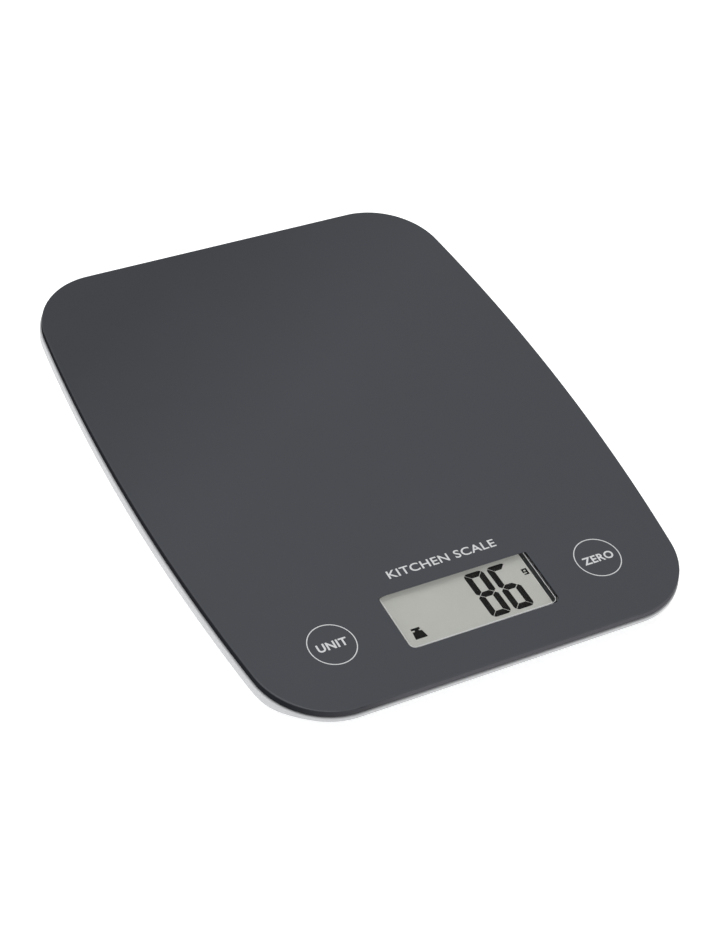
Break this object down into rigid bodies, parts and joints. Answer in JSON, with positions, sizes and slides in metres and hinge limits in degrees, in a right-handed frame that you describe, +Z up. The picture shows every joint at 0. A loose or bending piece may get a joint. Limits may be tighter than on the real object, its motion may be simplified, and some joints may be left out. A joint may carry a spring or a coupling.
{
  "type": "kitchen scale",
  "caption": "Slim kitchen scale: dark back-printed glass platform with a display window and two touch rings, on a shallow white tray with sprung sensing feet and a hooked battery door.",
  "frame": {"origin": "on the table, under the middle of the scale", "axes": "+Z up, +X to the reader's right, +Y to the back; the reader stands at -Y, on the display's side"},
  "size_m": [0.177, 0.221, 0.016],
  "materials": {
    "glass": "tempered glass printed dark grey on its back, polished face and ground edge",
    "tape": "translucent foam mounting tape",
    "tray": "white moulded ABS, fine satin",
    "door": "white moulded ABS, fine satin",
    "foot_cup": "white moulded ABS",
    "frame": "black moulded ABS",
    "holder": "black moulded ABS",
    "lcd": "grey-green liquid-crystal panel, satin polariser",
    "board": "green solder resist",
    "chip": "black epoxy",
    "connector": "striped silicone rubber",
    "copper": "copper film",
    "cell": "nickel-plated steel can",
    "contact": "nickel-plated spring steel",
    "sensor": "stamped spring steel",
    "foot_pad": "dark grey matt rubber",
    "lead": "red PVC insulation",
    "screw": "zinc-plated steel"
  },
  "bodies": {
    "housing": {"glass_platform": "glass", "mounting_tape": "tape", "base_tray": "tray", "display_frame": "frame", "lcd_panel": "lcd", "circuit_board": "board", "driver_chip": "chip", "display_connector": "connector", "touch_electrode_unit": "copper", "touch_electrode_zero": "copper", "coin_cell": "cell", "contact_negative": "contact", "contact_positive": "contact", "load_sensor_front_left": "sensor", "sensor_holder_front_left": "holder", "sensor_lead_front_left": "lead", "sensor_screw_front_left_near": "screw", "sensor_screw_front_left_far": "screw", "board_screw_front_left": "screw", "load_sensor_front_right": "sensor", "sensor_holder_front_right": "holder", "sensor_lead_front_right": "lead", "sensor_screw_front_right_near": "screw", "sensor_screw_front_right_far": "screw", "board_screw_front_right": "screw", "load_sensor_back_left": "sensor", "sensor_holder_back_left": "holder", "sensor_lead_back_left": "lead", "sensor_screw_back_left_near": "screw", "sensor_screw_back_left_far": "screw", "board_screw_back_left": "screw", "load_sensor_back_right": "sensor", "sensor_holder_back_right": "holder", "sensor_lead_back_right": "lead", "sensor_screw_back_right_near": "screw", "sensor_screw_back_right_far": "screw", "board_screw_back_right": "screw"},
    "battery_door": {"battery_door": "door"},
    "foot_front_left": {"foot_pad_front_left": "foot_pad", "foot_cup_front_left": "foot_cup"},
    "foot_front_right": {"foot_pad_front_right": "foot_pad", "foot_cup_front_right": "foot_cup"},
    "foot_back_left": {"foot_pad_back_left": "foot_pad", "foot_cup_back_left": "foot_cup"},
    "foot_back_right": {"foot_pad_back_right": "foot_pad", "foot_cup_back_right": "foot_cup"}
  },
  "joints": [
    {"name": "foot_press_front_left", "type": "slide", "parent": "housing", "child": "foot_front_left", "axis": [0, 0, 1], "range_m": [0, 0.0006], "stiffness_N_per_m": 40000},
    {"name": "foot_press_front_right", "type": "slide", "parent": "housing", "child": "foot_front_right", "axis": [0, 0, 1], "range_m": [0, 0.0006], "stiffness_N_per_m": 40000},
    {"name": "foot_press_back_left", "type": "slide", "parent": "housing", "child": "foot_back_left", "axis": [0, 0, 1], "range_m": [0, 0.0006], "stiffness_N_per_m": 40000},
    {"name": "foot_press_back_right", "type": "slide", "parent": "housing", "child": "foot_back_right", "axis": [0, 0, 1], "range_m": [0, 0.0006], "stiffness_N_per_m": 40000},
    {"name": "battery_door_hinge", "type": "hinge", "parent": "housing", "child": "battery_door", "pos_m": [0, 0.039, 0.002], "axis": [1, 0, 0], "range_deg": [0, 75]}
  ]
}
